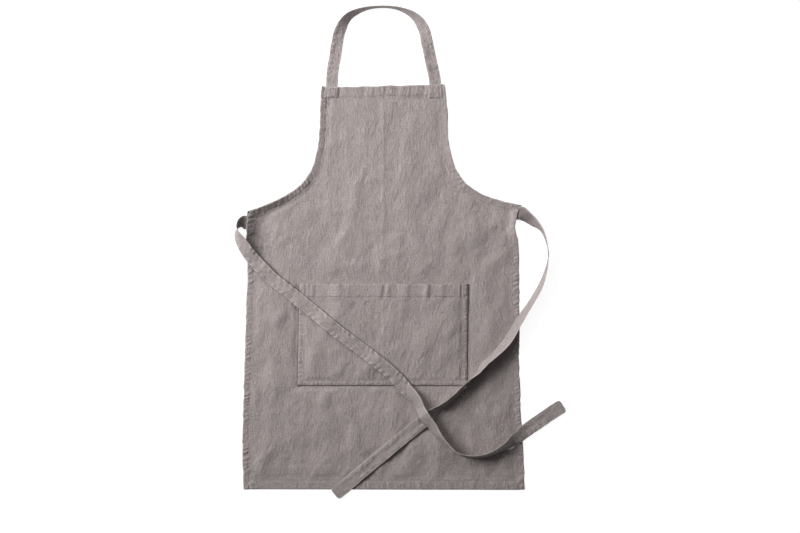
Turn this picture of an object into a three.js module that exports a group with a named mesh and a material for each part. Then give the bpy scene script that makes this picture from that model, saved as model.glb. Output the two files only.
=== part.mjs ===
// Linen bib apron lying front up with both ties drawn over it. Millimetres, +Z up, +Y towards the neck.
import * as THREE from "three";

// Cloth, tape and the air between layers
const CLOTH = 1;
const TAPE = 1.2;
const GAP = 0.3;
const RIM = CLOTH + GAP;
const TUCK = TAPE + GAP;
const REST = 0.6;

// Turned hems
const SIDE_HEM = 15;
const BIB_HEM = 25;
const POCKET_HEM = 30;

// Tapes
const TIE_WIDTH = 30;
const NECK_WIDTH = 25.5;

// Skirt sections from the bottom edge up to the waist corners, x from the pressed centre line.
// The first stretch is the bottom hem, and cells counts the grid rows up to the next section.
const SKIRT = [
  { leftX: -307, leftY: 0, rightX: 311, rightY: 0, cells: 1 },
  { leftX: -308, leftY: 22, rightX: 310, rightY: 22, cells: 4 },
  { leftX: -310, leftY: 100, rightX: 306, rightY: 100, cells: 5 },
  { leftX: -308, leftY: 196, rightX: 301, rightY: 196, cells: 5 },
  { leftX: -305, leftY: 292, rightX: 298, rightY: 292, cells: 5 },
  { leftX: -302, leftY: 390, rightX: 299, rightY: 390, cells: 5 },
  { leftX: -299, leftY: 480, rightX: 298, rightY: 482, cells: 3 },
  { leftX: -300, leftY: 545, rightX: 295, rightY: 545, cells: 2 },
  { leftX: -300, leftY: 578, rightX: 288, rightY: 578, cells: 1 },
  { leftX: -299, leftY: 596, rightX: 294, rightY: 604, cells: 1 },
  { leftX: -298, leftY: 612, rightX: 303, rightY: 625, cells: 1 },
];

// Armholes from the waist corner to the straight of the bib, each with the pull of its curve at both ends
const ARMHOLES = {
  left: { bibX: -140, bibY: 824, bibPull: -125, waistPullX: 133, waistPullY: 40 },
  right: { bibX: 141, bibY: 830, bibPull: -128, waistPullX: -142, waistPullY: 25 },
};
const ARMHOLE_CELLS = 12;

// Bib corners
const BIB = { leftX: -136, leftY: 886, rightX: 135, rightY: 892 };
const BIB_CELLS = 2;
const PANEL_COLUMNS = 24;

// Soft folds of the panel: centre, half lengths along and across, turn from +X and height
const FOLDS = [
  { name: "bib left", x: -92, y: 735, along: 55, across: 26, turn: 12, rise: 1.5 },
  { name: "waist left", x: -205, y: 575, along: 60, across: 32, turn: 70, rise: 2 },
  { name: "waist right", x: 205, y: 565, along: 60, across: 28, turn: 18, rise: 1.5 },
  { name: "right edge curl", x: 292, y: 556, along: 20, across: 17, turn: 90, rise: 5 },
  { name: "skirt left", x: -135, y: 150, along: 55, across: 32, turn: 72, rise: 1.5 },
  { name: "hem left", x: -245, y: 75, along: 50, across: 30, turn: 66, rise: 2.5 },
];

// Patch pocket
const POCKET = { left: -187, right: 187, bottom: 228, top: 452, flare: -4 };
const POCKET_SWELL = 7;
const POCKET_COLUMNS = 18;
const POCKET_ROWS = 10;
const POCKET_FOLDS = [
  { name: "mouth left", x: -92, y: 405, along: 40, across: 22, turn: 80, rise: 2 },
  { name: "low right", x: 128, y: 300, along: 40, across: 24, turn: 40, rise: 2 },
];

// Strap ends sewn into the hems: middle and half sizes of the raised patch over each
const TUCKS = [
  { name: "neck left", x: -114, y: 890, halfX: 24, halfY: 34 },
  { name: "neck right", x: 114, y: 890, halfX: 24, halfY: 34 },
  { name: "tie left", x: -300, y: 587, halfX: 26, halfY: 32 },
  { name: "tie right", x: 300, y: 607, halfX: 30, halfY: 30 },
];
const TUCK_FADE = 24;

// Neck strap: one whole loop, its crown standing on edge. Bank lifts the left edge as the tape runs on.
const NECK_ROUTE = [
  { x: -114.5, y: 866, lift: 0, bank: 0 },
  { x: -113.5, y: 890, lift: 0, bank: 0 },
  { x: -112.5, y: 912, lift: 1, bank: 0 },
  { x: -109.5, y: 934, lift: 2, bank: 0 },
  { x: -105.5, y: 956, lift: 2, bank: 2 },
  { x: -102.5, y: 978, lift: 2, bank: 6 },
  { x: -95, y: 1010, lift: 1, bank: 22 },
  { x: -76, y: 1039, lift: 0, bank: 55 },
  { x: -42, y: 1055, lift: 0, bank: 82 },
  { x: -2, y: 1060, lift: 0, bank: 90 },
  { x: 37, y: 1055, lift: 0, bank: 82 },
  { x: 70, y: 1038, lift: 0, bank: 55 },
  { x: 89, y: 1010, lift: 1, bank: 22 },
  { x: 97, y: 978, lift: 2, bank: 6 },
  { x: 101.5, y: 956, lift: 2, bank: 2 },
  { x: 106, y: 934, lift: 2, bank: 0 },
  { x: 111, y: 912, lift: 1, bank: 0 },
  { x: 113.5, y: 892, lift: 0, bank: 0 },
  { x: 114, y: 870, lift: 0, bank: 0 },
];

// Right tie: out of the waist hem, round on its edge, then over the skirt and past the hem
const RIGHT_ROUTE = [
  { name: "sewn end", x: 288, y: 608, lift: 0, bank: 0 },
  { name: "waist edge", x: 303, y: 607, lift: 0, bank: 4 },
  { name: "crest", x: 308, y: 604, lift: 1.5, bank: 24 },
  { name: "rolling", x: 316, y: 598.5, lift: 2, bank: 42 },
  { name: "rolling", x: 330.5, y: 587, lift: 1, bank: 56 },
  { name: "rolling", x: 342, y: 576.5, lift: 0.5, bank: 76 },
  { name: "on edge", x: 350, y: 564.5, lift: 0, bank: 86 },
  { name: "on edge", x: 357, y: 545, lift: 0, bank: 92 },
  { name: "on edge", x: 361, y: 518, lift: 0, bank: 97 },
  { name: "on edge", x: 357, y: 487, lift: 0, bank: 88 },
  { name: "leaning", x: 344, y: 448, lift: 0, bank: 76 },
  { name: "leaning", x: 324, y: 412, lift: 0, bank: 71 },
  { name: "leaning", x: 300, y: 375, lift: 0, bank: 63 },
  { name: "leaning", x: 271, y: 327, lift: 0, bank: 58 },
  { name: "leaning", x: 236, y: 289.5, lift: 0, bank: 72 },
  { name: "kink", x: 228, y: 283.5, lift: 0, bank: 73 },
  { name: "kink", x: 220.5, y: 276, lift: 0, bank: 70 },
  { name: "kink", x: 214, y: 268, lift: 0, bank: 74 },
  { name: "turning over", x: 208.5, y: 260, lift: 0, bank: 82 },
  { name: "turning over", x: 197, y: 249, lift: 0, bank: 92 },
  { name: "turning over", x: 187, y: 240, lift: 0, bank: 98 },
  { name: "turned over", x: 174, y: 226, lift: 0, bank: 106 },
  { name: "turned over", x: 158, y: 208.5, lift: 0, bank: 111 },
  { name: "turned over", x: 135, y: 189, lift: 0, bank: 116 },
  { name: "laying down", x: 119, y: 176.5, lift: 0, bank: 133 },
  { name: "crossing", x: 104, y: 165, lift: 0, bank: 155 },
  { name: "flat", x: 76, y: 142, lift: 0, bank: 173 },
  { name: "flat", x: 16, y: 93, lift: 0, bank: 178 },
  { name: "bottom hem", x: -92, y: 2, lift: 0, bank: 180 },
  { name: "free end", x: -107, y: -10.6, lift: 0, bank: 180 },
];

// Left tie: out of the waist hem, a tight turn on its edge, across the pocket and over the right tie.
// Free is the share of its height that the tape carries by itself.
const LEFT_ROUTE = [
  { name: "sewn end", x: -286, y: 587, lift: 0.7, bank: 0, free: 1 },
  { name: "sewn end", x: -295, y: 587, lift: 0.7, bank: 0, free: 1 },
  { name: "waist edge", x: -302, y: 587, lift: 0.7, bank: 0, free: 1 },
  { name: "waist edge", x: -305, y: 587, lift: 1.6, bank: -6, free: 1 },
  { name: "rolling", x: -309.5, y: 586, lift: 7, bank: -30, free: 1 },
  { name: "rolling", x: -313, y: 584.2, lift: 11.2, bank: -50, free: 1 },
  { name: "rolling", x: -316, y: 581.3, lift: 14, bank: -68, free: 1 },
  { name: "on edge", x: -319.2, y: 576.6, lift: 15, bank: -85, free: 1 },
  { name: "on edge", x: -321, y: 571, lift: 15, bank: -100, free: 1 },
  { name: "leaning", x: -321, y: 565, lift: 14.8, bank: -113, free: 1 },
  { name: "leaning", x: -318.5, y: 558, lift: 14.4, bank: -126, free: 1 },
  { name: "leaning", x: -313.5, y: 548.5, lift: 14, bank: -141, free: 1 },
  { name: "over the edge", x: -306.5, y: 537, lift: 13, bank: -154, free: 1 },
  { name: "coming down", x: -297.5, y: 523.5, lift: 11, bank: -165, free: 1 },
  { name: "coming down", x: -288, y: 510.5, lift: 7.5, bank: -173, free: 1 },
  { name: "coming down", x: -277.5, y: 498, lift: 3.6, bank: -178, free: 0.6 },
  { name: "on the panel", x: -267, y: 487, lift: 1, bank: -180, free: 0 },
  { name: "on the panel", x: -243, y: 463, lift: 0, bank: -180 },
  { name: "pocket corner", x: -211, y: 438, lift: 0, bank: -180 },
  { name: "on the pocket", x: -154, y: 392, lift: 0, bank: -180 },
  { name: "on the pocket", x: -96, y: 345, lift: 0, bank: -180 },
  { name: "on the pocket", x: -36, y: 300, lift: 0, bank: -180 },
  { name: "on the pocket", x: 10, y: 263, lift: 0, bank: -180 },
  { name: "pocket foot", x: 34, y: 240, lift: 0, bank: -178 },
  { name: "pocket foot", x: 48, y: 224, lift: 0, bank: -171 },
  { name: "bending", x: 62, y: 209.5, lift: 0, bank: -154 },
  { name: "bending", x: 73, y: 197, lift: 0, bank: -138 },
  { name: "crossing", x: 82, y: 177.5, lift: 0.5, bank: -134 },
  { name: "crossing", x: 93.3, y: 158, lift: 1, bank: -141 },
  { name: "crossing", x: 104.5, y: 144.5, lift: 1, bank: -134 },
  { name: "rising on edge", x: 119, y: 124.5, lift: 1, bank: -119 },
  { name: "rising on edge", x: 130, y: 112, lift: 0.5, bank: -110 },
  { name: "on edge", x: 142.5, y: 99, lift: 0, bank: -103 },
  { name: "on edge", x: 156.5, y: 86.8, lift: 0, bank: -98 },
  { name: "on edge", x: 171, y: 78.6, lift: 0, bank: -101 },
  { name: "on edge", x: 192, y: 74.5, lift: 0, bank: -105 },
  { name: "on edge", x: 212, y: 75, lift: 0, bank: -109 },
  { name: "laying down", x: 231, y: 79, lift: 0, bank: -112 },
  { name: "laying down", x: 256, y: 90.8, lift: 0, bank: -119 },
  { name: "laying down", x: 273, y: 101, lift: 0, bank: -131 },
  { name: "laying down", x: 292, y: 115, lift: 0, bank: -155 },
  { name: "side edge", x: 312, y: 129.5, lift: 0, bank: -172 },
  { name: "off the panel", x: 336, y: 146, lift: 0, bank: -180 },
  { name: "off the panel", x: 364, y: 165, lift: 0.5, bank: -183 },
  { name: "free end", x: 395, y: 185, lift: 0.5, bank: -184 },
];
const TAPE_STEP = 7;
const SETTLE_REACH = 4;

// Small helpers
const radians = THREE.MathUtils.degToRad;
const fade = (value, full, none) => 1 - THREE.MathUtils.smoothstep(value, full, none);

function foldHeight(folds, x, y) {
  let height = 0;
  for (const fold of folds) {
    const cos = Math.cos(radians(fold.turn));
    const sin = Math.sin(radians(fold.turn));
    const along = ((x - fold.x) * cos + (y - fold.y) * sin) / fold.along;
    const across = ((y - fold.y) * cos - (x - fold.x) * sin) / fold.across;
    height += fold.rise * Math.exp(-along * along - across * across);
  }
  return height;
}

// How far a point lies outside the pocket, which keeps the panel flat under it
function outsidePocket(x, y) {
  const besideX = Math.max(POCKET.left - x, x - POCKET.right);
  const besideY = Math.max(POCKET.bottom - y, y - POCKET.top);
  return Math.max(besideX, besideY);
}

function panelFold(x, y) {
  const free = 1 - fade(outsidePocket(x, y), 26, 60);
  return free * foldHeight(FOLDS, x, y);
}

function tuckRise(x, y) {
  let rise = 0;
  for (const tuck of TUCKS) {
    const besideX = Math.abs(x - tuck.x) - tuck.halfX;
    const besideY = Math.abs(y - tuck.y) - tuck.halfY;
    rise = Math.max(rise, TUCK * fade(besideX, 0, TUCK_FADE) * fade(besideY, 0, TUCK_FADE));
  }
  return rise;
}

// Edge of one side, from the bottom corner up to the bib corner
function sideEdge(side) {
  const corners = SKIRT.map((row) => new THREE.Vector2(row[side + "X"], row[side + "Y"]));
  const skirt = new THREE.SplineCurve(corners);
  const edge = [];
  for (let i = 0; i < SKIRT.length - 1; i++) {
    for (let k = 0; k < SKIRT[i].cells; k++) {
      edge.push(skirt.getPoint((i + k / SKIRT[i].cells) / (SKIRT.length - 1)));
    }
  }
  const hole = ARMHOLES[side];
  const waist = corners[corners.length - 1];
  const bib = new THREE.Vector2(hole.bibX, hole.bibY);
  const curve = new THREE.CubicBezierCurve(
    waist,
    new THREE.Vector2(waist.x + hole.waistPullX, waist.y + hole.waistPullY),
    new THREE.Vector2(bib.x, bib.y + hole.bibPull),
    bib,
  );
  edge.push(...curve.getPoints(ARMHOLE_CELLS));
  const corner = new THREE.Vector2(BIB[side + "X"], BIB[side + "Y"]);
  const hemLine = corner.clone().lerp(bib, BIB_HEM / corner.distanceTo(bib));
  for (let k = 1; k <= BIB_CELLS; k++) {
    edge.push(bib.clone().lerp(hemLine, k / BIB_CELLS));
  }
  edge.push(corner);
  return edge;
}

// The same edge drawn in by the side hem, mitred at the waist corner
function insetEdge(edge, inward) {
  return edge.map((point, i) => {
    const before = point.clone().sub(edge[Math.max(i - 1, 0)]);
    const after = edge[Math.min(i + 1, edge.length - 1)].clone().sub(point);
    const first = before.lengthSq() > 0 ? before : after;
    const second = after.lengthSq() > 0 ? after : before;
    first.normalize();
    second.normalize();
    const normal = new THREE.Vector2(first.y + second.y, -first.x - second.x).normalize();
    const reach = normal.x * second.y - normal.y * second.x;
    return point.clone().addScaledVector(normal, (inward * SIDE_HEM) / reach);
  });
}

const leftEdge = sideEdge("left");
const rightEdge = sideEdge("right");
const leftInset = insetEdge(leftEdge, 1);
const rightInset = insetEdge(rightEdge, -1);
const lastRow = leftEdge.length - 1;
const lastColumn = PANEL_COLUMNS + 2;
const waistRow = SKIRT.slice(0, -1).reduce((sum, row) => sum + row.cells, 0);

// Distance from the nearest edge of the panel
const outline = [...leftEdge, ...rightEdge.slice().reverse()];

function edgeDistance(x, y) {
  let nearest = Infinity;
  outline.forEach((a, i) => {
    const b = outline[(i + 1) % outline.length];
    const spanX = b.x - a.x;
    const spanY = b.y - a.y;
    const share = ((x - a.x) * spanX + (y - a.y) * spanY) / (spanX * spanX + spanY * spanY);
    const held = THREE.MathUtils.clamp(share, 0, 1);
    nearest = Math.min(nearest, Math.hypot(x - a.x - held * spanX, y - a.y - held * spanY));
  });
  return nearest;
}

// The panel stands over its hems at the rim and lies down inside it
function rimRise(x, y) {
  return RIM * fade(edgeDistance(x, y), BIB_HEM + 4, BIB_HEM + 44);
}

const panelPlan = leftEdge.map((left, row) => {
  const points = [left];
  for (let k = 0; k <= PANEL_COLUMNS; k++) {
    points.push(leftInset[row].clone().lerp(rightInset[row], k / PANEL_COLUMNS));
  }
  points.push(rightEdge[row]);
  return points;
});

const sheetHeight = (x, y) => rimRise(x, y) + panelFold(x, y);
const panelRows = panelPlan.map((points) =>
  points.map((p) => new THREE.Vector3(p.x, p.y, sheetHeight(p.x, p.y) + tuckRise(p.x, p.y))),
);

// A turned hem: the rim cells of the panel again, one cloth lower
function hemRows(fromRow, toRow, fromColumn, toColumn) {
  const rows = [];
  for (let row = fromRow; row <= toRow; row++) {
    const points = [];
    for (let column = fromColumn; column <= toColumn; column++) {
      const p = panelPlan[row][column];
      points.push(new THREE.Vector3(p.x, p.y, sheetHeight(p.x, p.y) - RIM));
    }
    rows.push(points);
  }
  return rows;
}

// Draws the first and last row of a hem back from the piece it meets
function shorten(rows, atStart, atEnd) {
  const pull = (row, next) => row.forEach((p, i) => p.lerp(next[i], GAP / p.distanceTo(next[i])));
  if (atStart) pull(rows[0], rows[1]);
  if (atEnd) pull(rows[rows.length - 1], rows[rows.length - 2]);
  return rows;
}

// A closed sheet from rows of points on its under side
function sheetGeometry(rows, thickness) {
  const wide = rows[0].length;
  const high = rows.length;
  const layer = wide * high;
  const positions = [];
  for (const rise of [0, thickness]) {
    for (const points of rows) {
      for (const p of points) positions.push(p.x, p.y, p.z + rise);
    }
  }
  const faces = [];
  for (let r = 0; r < high - 1; r++) {
    for (let c = 0; c < wide - 1; c++) {
      const a = r * wide + c;
      const b = a + 1;
      const d = a + wide;
      const e = d + 1;
      faces.push(a, e, b, a, d, e);
      faces.push(a + layer, b + layer, e + layer, a + layer, e + layer, d + layer);
    }
  }
  const rim = [];
  for (let c = 0; c < wide - 1; c++) rim.push(c);
  for (let r = 0; r < high - 1; r++) rim.push(r * wide + wide - 1);
  for (let c = wide - 1; c > 0; c--) rim.push((high - 1) * wide + c);
  for (let r = high - 1; r > 0; r--) rim.push(r * wide);
  rim.forEach((p, i) => {
    const q = rim[(i + 1) % rim.length];
    faces.push(p, q, q + layer, p, q + layer, p + layer);
  });
  return closedGeometry(positions, faces);
}

function closedGeometry(positions, faces) {
  const geometry = new THREE.BufferGeometry();
  geometry.setAttribute("position", new THREE.Float32BufferAttribute(positions, 3));
  geometry.setIndex(faces);
  geometry.computeVertexNormals();
  return geometry;
}

// Pocket: sewn down on three sides, swelling towards an open mouth
function pocketSwell(u, v) {
  const acrossShare = 1 - Math.pow(Math.abs(2 * u - 1), 4);
  const upShare = 1 - Math.pow(1 - v, 4);
  return POCKET_SWELL * acrossShare * upShare;
}

function pocketPoint(u, v) {
  const left = POCKET.left + POCKET.flare * (1 - v);
  const right = POCKET.right + 0.5 * POCKET.flare * (1 - v);
  const x = left + (right - left) * u;
  const y = POCKET.bottom + (POCKET.top - POCKET.bottom) * v;
  const hemShare = fade(POCKET.top - y, POCKET_HEM + 2, POCKET_HEM + 40);
  const inside = Math.min(1, 6 * Math.min(u, 1 - u)) * Math.min(1, 5 * v);
  const fold = inside * foldHeight(POCKET_FOLDS, x, y);
  return new THREE.Vector3(x, y, RIM + RIM * hemShare + pocketSwell(u, v) + fold);
}

const pocketHemShare = 1 - POCKET_HEM / (POCKET.top - POCKET.bottom);
const pocketRows = [];
for (let r = 0; r <= POCKET_ROWS; r++) {
  const v = r < POCKET_ROWS ? (pocketHemShare * r) / (POCKET_ROWS - 1) : 1;
  const points = [];
  for (let c = 0; c <= POCKET_COLUMNS; c++) points.push(pocketPoint(c / POCKET_COLUMNS, v));
  pocketRows.push(points);
}
const pocketHemRows = pocketRows
  .slice(POCKET_ROWS - 1)
  .map((points) => points.map((p) => new THREE.Vector3(p.x, p.y, p.z - RIM)));

// Height of the cloth or the table under a tape at one point
function edgeAt(edge, y) {
  for (let i = 0; i < waistRow; i++) {
    if (y <= edge[i + 1].y) {
      const share = (y - edge[i].y) / (edge[i + 1].y - edge[i].y);
      return edge[i].x + (edge[i + 1].x - edge[i].x) * share;
    }
  }
  return edge[waistRow].x;
}

function clothTop(x, y) {
  const inside = Math.min(x - edgeAt(leftEdge, y), edgeAt(rightEdge, y) - x, y);
  if (inside < -1 || y > leftEdge[waistRow].y + 20) return 0;
  const pocket = outsidePocket(x, y);
  if (pocket < 4) {
    const u = THREE.MathUtils.clamp((x - POCKET.left) / (POCKET.right - POCKET.left), 0, 1);
    const v = THREE.MathUtils.clamp((y - POCKET.bottom) / (POCKET.top - POCKET.bottom), 0, 1);
    return pocketPoint(u, v).z + CLOTH;
  }
  return sheetHeight(x, y) + tuckRise(x, y) + CLOTH;
}

// Even steps along a route table, each column run through a smooth curve
function routeSteps(table) {
  const stations = [0];
  for (let i = 1; i < table.length; i++) {
    const reach = Math.hypot(table[i].x - table[i - 1].x, table[i].y - table[i - 1].y);
    stations.push(stations[i - 1] + reach);
  }
  const values = table.flatMap((row) => [row.x, row.y, row.lift, row.bank, row.free ?? 0]);
  const curve = new THREE.CubicInterpolant(stations, values, 5);
  const length = stations[stations.length - 1];
  const count = Math.round(length / TAPE_STEP);
  const steps = [];
  for (let i = 0; i <= count; i++) {
    const [x, y, lift, bank, free] = curve.evaluate((length * i) / count);
    const held = THREE.MathUtils.clamp(1 - free, 0, 1);
    steps.push({ x, y, lift: Math.max(lift, 0), bank: radians(bank), held });
  }
  return steps;
}

// Lays a tape on what is under it, keeping its own stiffness over steps in the cloth
function settle(steps, width, heightUnder) {
  const bare = steps.map((step, i) => {
    const before = steps[Math.max(i - 1, 0)];
    const after = steps[Math.min(i + 1, steps.length - 1)];
    const heading = Math.atan2(after.y - before.y, after.x - before.x);
    let z = 0;
    for (let k = -4; k <= 4; k++) {
      const reach = (width * k) / 8;
      const flat = reach * Math.cos(step.bank);
      const under = heightUnder(step.x - flat * Math.sin(heading), step.y + flat * Math.cos(heading));
      z = Math.max(z, under - reach * Math.sin(step.bank));
    }
    return z;
  });
  const nearby = (list, i) => list.slice(Math.max(i - SETTLE_REACH, 0), i + SETTLE_REACH + 1);
  const raised = bare.map((_, i) => Math.max(...nearby(bare, i)));
  return steps.map((step, i) => {
    const around = nearby(raised, i);
    const z = around.reduce((sum, value) => sum + value, 0) / around.length;
    return new THREE.Vector3(step.x, step.y, step.held * z + step.lift + REST + TAPE / 2);
  });
}

// Points round the section of a tape, as shares of its half width and half thickness
const TAPE_SECTION = [
  [-1, -1],
  [0, -1],
  [1, -1],
  [1, 1],
  [0, 1],
  [-1, 1],
];

// Frames of a tape: its middle, and the vector across it
function tapeFrames(middles, banks) {
  return middles.map((middle, i) => {
    const before = middles[Math.max(i - 1, 0)];
    const after = middles[Math.min(i + 1, middles.length - 1)];
    const ahead = after.clone().sub(before).normalize();
    const level = new THREE.Vector3(-ahead.y, ahead.x, 0).normalize();
    const up = ahead.clone().cross(level);
    const across = level.multiplyScalar(Math.cos(banks[i])).addScaledVector(up, Math.sin(banks[i]));
    return { middle, across };
  });
}

function tapeGeometry(frames, width) {
  const positions = [];
  frames.forEach(({ middle, across }, i) => {
    const before = frames[Math.max(i - 1, 0)].middle;
    const after = frames[Math.min(i + 1, frames.length - 1)].middle;
    const face = after.clone().sub(before).cross(across).normalize();
    for (const [side, layer] of TAPE_SECTION) {
      const corner = middle.clone().addScaledVector(across, (side * width) / 2);
      corner.addScaledVector(face, (layer * TAPE) / 2);
      positions.push(corner.x, corner.y, corner.z);
    }
  });
  const round = TAPE_SECTION.length;
  const end = round * (frames.length - 1);
  const faces = [];
  for (let i = 0; i < end; i += round) {
    for (let k = 0; k < round; k++) {
      const a = i + k;
      const b = i + ((k + 1) % round);
      faces.push(a, b, b + round, a, b + round, a + round);
    }
  }
  for (let k = 1; k < round - 1; k++) {
    faces.push(0, k + 1, k);
    faces.push(end, end + k, end + k + 1);
  }
  return closedGeometry(positions, faces);
}

// Height under a tape whose sewn end lies between the hem and the panel
function underSewnEnd(isSewn, otherwise) {
  return (x, y) => (isSewn(x, y) ? RIM - REST : otherwise(x, y));
}

// Neck strap
const neckSteps = routeSteps(NECK_ROUTE);
const neckUnder = underSewnEnd((x, y) => y < 905, () => 0);
const neckMiddles = settle(neckSteps, NECK_WIDTH, neckUnder);
const neckFrames = tapeFrames(neckMiddles, neckSteps.map((step) => step.bank));

// Right tie
const rightSteps = routeSteps(RIGHT_ROUTE);
const rightUnder = underSewnEnd((x, y) => x < 312 && y > 580, clothTop);
const rightMiddles = settle(rightSteps, TIE_WIDTH, rightUnder);
const rightFrames = tapeFrames(rightMiddles, rightSteps.map((step) => step.bank));

// Left tie, which also lies over the right tie
function overRightTie(x, y) {
  let top = clothTop(x, y);
  for (const { middle, across } of rightFrames) {
    const offX = x - middle.x;
    const offY = y - middle.y;
    if (Math.hypot(offX, offY) > TIE_WIDTH) continue;
    const share = THREE.MathUtils.clamp((offX * across.x + offY * across.y) / (TIE_WIDTH / 2), -1, 1);
    const nearX = offX - (share * across.x * TIE_WIDTH) / 2;
    const nearY = offY - (share * across.y * TIE_WIDTH) / 2;
    if (Math.hypot(nearX, nearY) > TAPE_STEP) continue;
    top = Math.max(top, middle.z + (share * across.z * TIE_WIDTH) / 2 + TAPE / 2);
  }
  return top;
}

const leftSteps = routeSteps(LEFT_ROUTE);
const leftMiddles = settle(leftSteps, TIE_WIDTH, overRightTie);
const leftFrames = tapeFrames(leftMiddles, leftSteps.map((step) => step.bank));

// Pieces
const linen = new THREE.MeshStandardMaterial({ color: "#a0938f", roughness: 0.92, metalness: 0 });
const apron = new THREE.Group();
apron.name = "linen_apron";

function addPiece(name, geometry) {
  const mesh = new THREE.Mesh(geometry, linen);
  mesh.name = name;
  apron.add(mesh);
}

const bibHemRow = lastRow - 1;
addPiece("apron_panel", sheetGeometry(panelRows, CLOTH));
addPiece("bottom_hem", sheetGeometry(hemRows(0, 1, 0, lastColumn), CLOTH));
addPiece("bib_hem", sheetGeometry(hemRows(bibHemRow, lastRow, 0, lastColumn), CLOTH));
addPiece("side_hem_left", sheetGeometry(shorten(hemRows(1, waistRow, 0, 1), true, true), CLOTH));
addPiece(
  "side_hem_right",
  sheetGeometry(shorten(hemRows(1, waistRow, lastColumn - 1, lastColumn), true, true), CLOTH),
);
addPiece("armhole_hem_left", sheetGeometry(shorten(hemRows(waistRow, bibHemRow, 0, 1), true, true), CLOTH));
addPiece(
  "armhole_hem_right",
  sheetGeometry(shorten(hemRows(waistRow, bibHemRow, lastColumn - 1, lastColumn), true, true), CLOTH),
);
addPiece("pocket", sheetGeometry(pocketRows, CLOTH));
addPiece("pocket_hem", sheetGeometry(pocketHemRows, CLOTH));
addPiece("neck_strap", tapeGeometry(neckFrames, NECK_WIDTH));
addPiece("waist_tie_left", tapeGeometry(leftFrames, TIE_WIDTH));
addPiece("waist_tie_right", tapeGeometry(rightFrames, TIE_WIDTH));

// The part's origin is the middle of its footprint, at table height
const bounds = new THREE.Box3().setFromObject(apron);
const middle = bounds.getCenter(new THREE.Vector3());
for (const mesh of apron.children) mesh.geometry.translate(-middle.x, -middle.y, -bounds.min.z);

export default apron;
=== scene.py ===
"""Linen bib apron laid front up on a pale table, both ties drawn over it, seen straight down.

The apron is worked out in millimetres: x from the pressed centre line, y up from the bottom hem.
Meshes are made in metres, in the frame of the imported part.
"""

import math

import bpy
import numpy as np
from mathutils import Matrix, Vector
from mathutils.bvhtree import BVHTree
from mathutils.kdtree import KDTree


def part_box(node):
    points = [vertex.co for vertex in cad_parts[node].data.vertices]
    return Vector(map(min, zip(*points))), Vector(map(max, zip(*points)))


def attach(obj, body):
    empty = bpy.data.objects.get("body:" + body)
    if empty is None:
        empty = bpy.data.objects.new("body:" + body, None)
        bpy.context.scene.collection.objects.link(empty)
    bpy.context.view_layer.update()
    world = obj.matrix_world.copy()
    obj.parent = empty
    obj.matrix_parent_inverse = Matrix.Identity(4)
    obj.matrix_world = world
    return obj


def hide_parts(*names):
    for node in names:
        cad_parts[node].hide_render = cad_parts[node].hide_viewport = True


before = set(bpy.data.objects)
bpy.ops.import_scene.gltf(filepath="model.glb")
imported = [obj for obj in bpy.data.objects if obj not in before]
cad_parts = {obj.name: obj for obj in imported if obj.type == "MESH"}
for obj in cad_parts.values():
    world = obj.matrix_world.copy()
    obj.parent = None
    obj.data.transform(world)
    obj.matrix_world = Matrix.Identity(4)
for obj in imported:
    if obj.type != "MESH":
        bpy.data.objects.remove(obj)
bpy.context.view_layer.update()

MM = 0.001

# Picture: 800 pixels across, and its middle in apron millimetres
PIXEL = 2.2
PICTURE_WIDTH = 800 * PIXEL
PICTURE_MIDDLE = (36.3, 490.6)
CAMERA_HEIGHT = 3200
SENSOR = 36

# Cloth, tape and the air between layers
CLOTH = 1.0
TAPE = 1.2
GAP = 0.3
RIM = CLOTH + GAP
TUCK = TAPE + GAP
REST = 0.6

# Turned hems: widths, and how far a seam runs from the hem's inner edge
SIDE_HEM = 15
BOTTOM_HEM = 22
BIB_HEM = 25
POCKET_HEM = 30
HEM_SEAM = 1.8
MOUTH_SEAM = 1.5

# Rounded edges of the cloth: reach, fall of the panel and pocket, fall of the hems under them
ROUND_REACH = 1.4
ROUND_FALL = 0.9 * CLOTH
HEM_ROUND_FALL = 0.3

# Tapes
TIE_WIDTH = 30
NECK_WIDTH = 25.5

# Skirt sections from the bottom edge up to the waist corners: left x, y, right x, y, cells to the next
SKIRT = [
    (-307, 0, 311, 0, 1),
    (-308, 22, 310, 22, 4),
    (-310, 100, 306, 100, 5),
    (-308, 196, 301, 196, 5),
    (-305, 292, 298, 292, 5),
    (-302, 390, 299, 390, 5),
    (-299, 480, 298, 482, 3),
    (-300, 545, 295, 545, 2),
    (-300, 578, 288, 578, 1),
    (-299, 596, 294, 604, 1),
    (-298, 612, 303, 625, 1),
]

# Armholes, left and right: bib end, pull of the curve there, pull at the waist corner
ARMHOLES = [
    ((-140, 824), (0, -125), (133, 40)),
    ((141, 830), (0, -128), (-142, 25)),
]
ARMHOLE_CELLS = 12
BIB_CORNERS = [(-136, 886), (135, 892)]
BIB_CELLS = 2

# Fine grid of the panel: rows in each cell, columns between the hems, and the shares of a hem band
FINE = 11
PANEL_COLUMNS = 144
HEM_SHARES = np.array([0, 0.03, 0.08, 0.16, 0.26, 0.38, 0.5, 0.62, 0.74, 0.84, 0.92])
UNDER_COLUMNS = 8

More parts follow.
